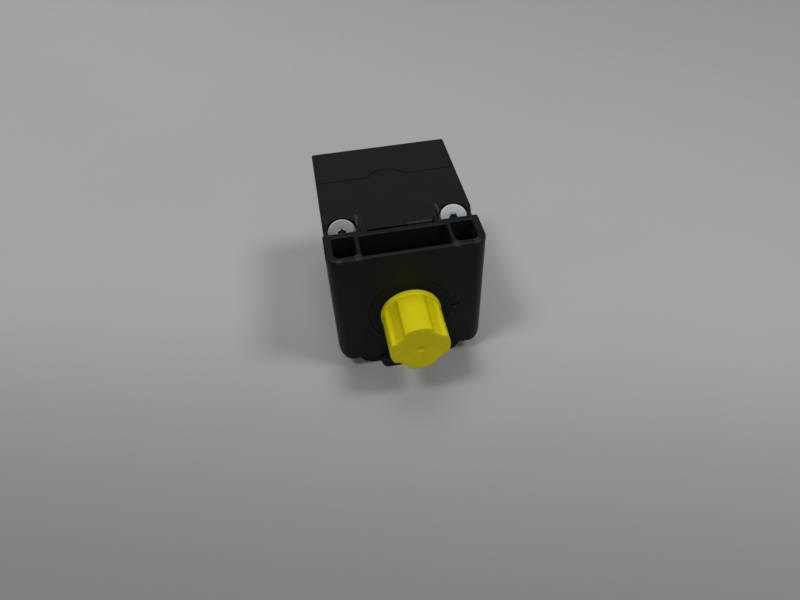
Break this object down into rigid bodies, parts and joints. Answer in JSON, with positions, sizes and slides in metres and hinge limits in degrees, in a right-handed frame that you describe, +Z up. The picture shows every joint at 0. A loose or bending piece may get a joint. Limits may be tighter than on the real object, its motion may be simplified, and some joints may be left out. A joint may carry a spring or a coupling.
{
  "type": "cuboid inductive proximity sensor with plug connector",
  "caption": "Black cuboid inductive proximity sensor on a flat base, with a plug connector under a yellow screw cap.",
  "frame": {"origin": "on the flat underside, midway between the two housing screws", "axes": "+Z up, away from the mounting face; +Y towards the sensing face, away from the plug connector; +X to the right seen from the connector"},
  "size_m": [0.0406, 0.0641, 0.041],
  "materials": {
    "housing_black": "fine moulded grain, satin",
    "plate_black": "fine moulded grain, satin",
    "base_black": "fine moulded grain",
    "cap_yellow": "smooth moulded, slightly waxy",
    "screw_zinc": "zinc plated",
    "sleeve_steel": "turned",
    "insert_brass": "knurled, turned",
    "nose_nickel": "nickel plated",
    "pin_gold": "gold plated",
    "connector_black": "smooth moulded",
    "carrier_black": "smooth moulded",
    "seal_rubber": "matt",
    "gasket_rubber": "matt",
    "board_green": "solder mask",
    "chip_black": "moulded package",
    "capacitor_tan": "ceramic",
    "ferrite_grey": "ground ferrite",
    "bobbin_natural": "moulded",
    "copper_wire": "enamelled wire",
    "led_clear": "clear epoxy",
    "guide_clear": "clear moulded plastic"
  },
  "bodies": {
    "sensor": {"mounting_base": "base_black", "threaded_inserts": "insert_brass", "mounting_screws": "screw_zinc", "screw_sleeves": "sleeve_steel", "sensor_housing": "housing_black", "sensing_head": "housing_black", "end_plate": "plate_black", "connector_insert": "connector_black", "thread_sleeve": "nose_nickel", "contact_carrier": "carrier_black", "contact_pins": "pin_gold", "connector_nut": "nose_nickel", "connector_seal": "seal_rubber", "main_board": "board_green", "controller_chip": "chip_black", "output_transistor": "chip_black", "capacitors": "capacitor_tan", "board_header": "pin_gold", "coil_board": "board_green", "status_leds": "led_clear", "light_guides": "guide_clear", "ferrite_core": "ferrite_grey", "coil_bobbin": "bobbin_natural", "coil_winding": "copper_wire"},
    "gasket": {"cap_gasket": "gasket_rubber"},
    "cap": {"protective_cap": "cap_yellow"}
  },
  "joints": [
    {"name": "cap_travel", "type": "slide", "parent": "sensor", "child": "gasket", "axis": [0, -1, 0], "range_m": [0, 0.0112]},
    {"name": "cap_turn", "type": "hinge", "parent": "gasket", "child": "cap", "pos_m": [0, -0.0144, 0.02], "axis": [0, -1, 0], "range_deg": [0, 4033]}
  ],
  "couplings": [
    {"joint": "cap_turn", "follows": "cap_travel", "rad_per_m": 6283.2}
  ]
}
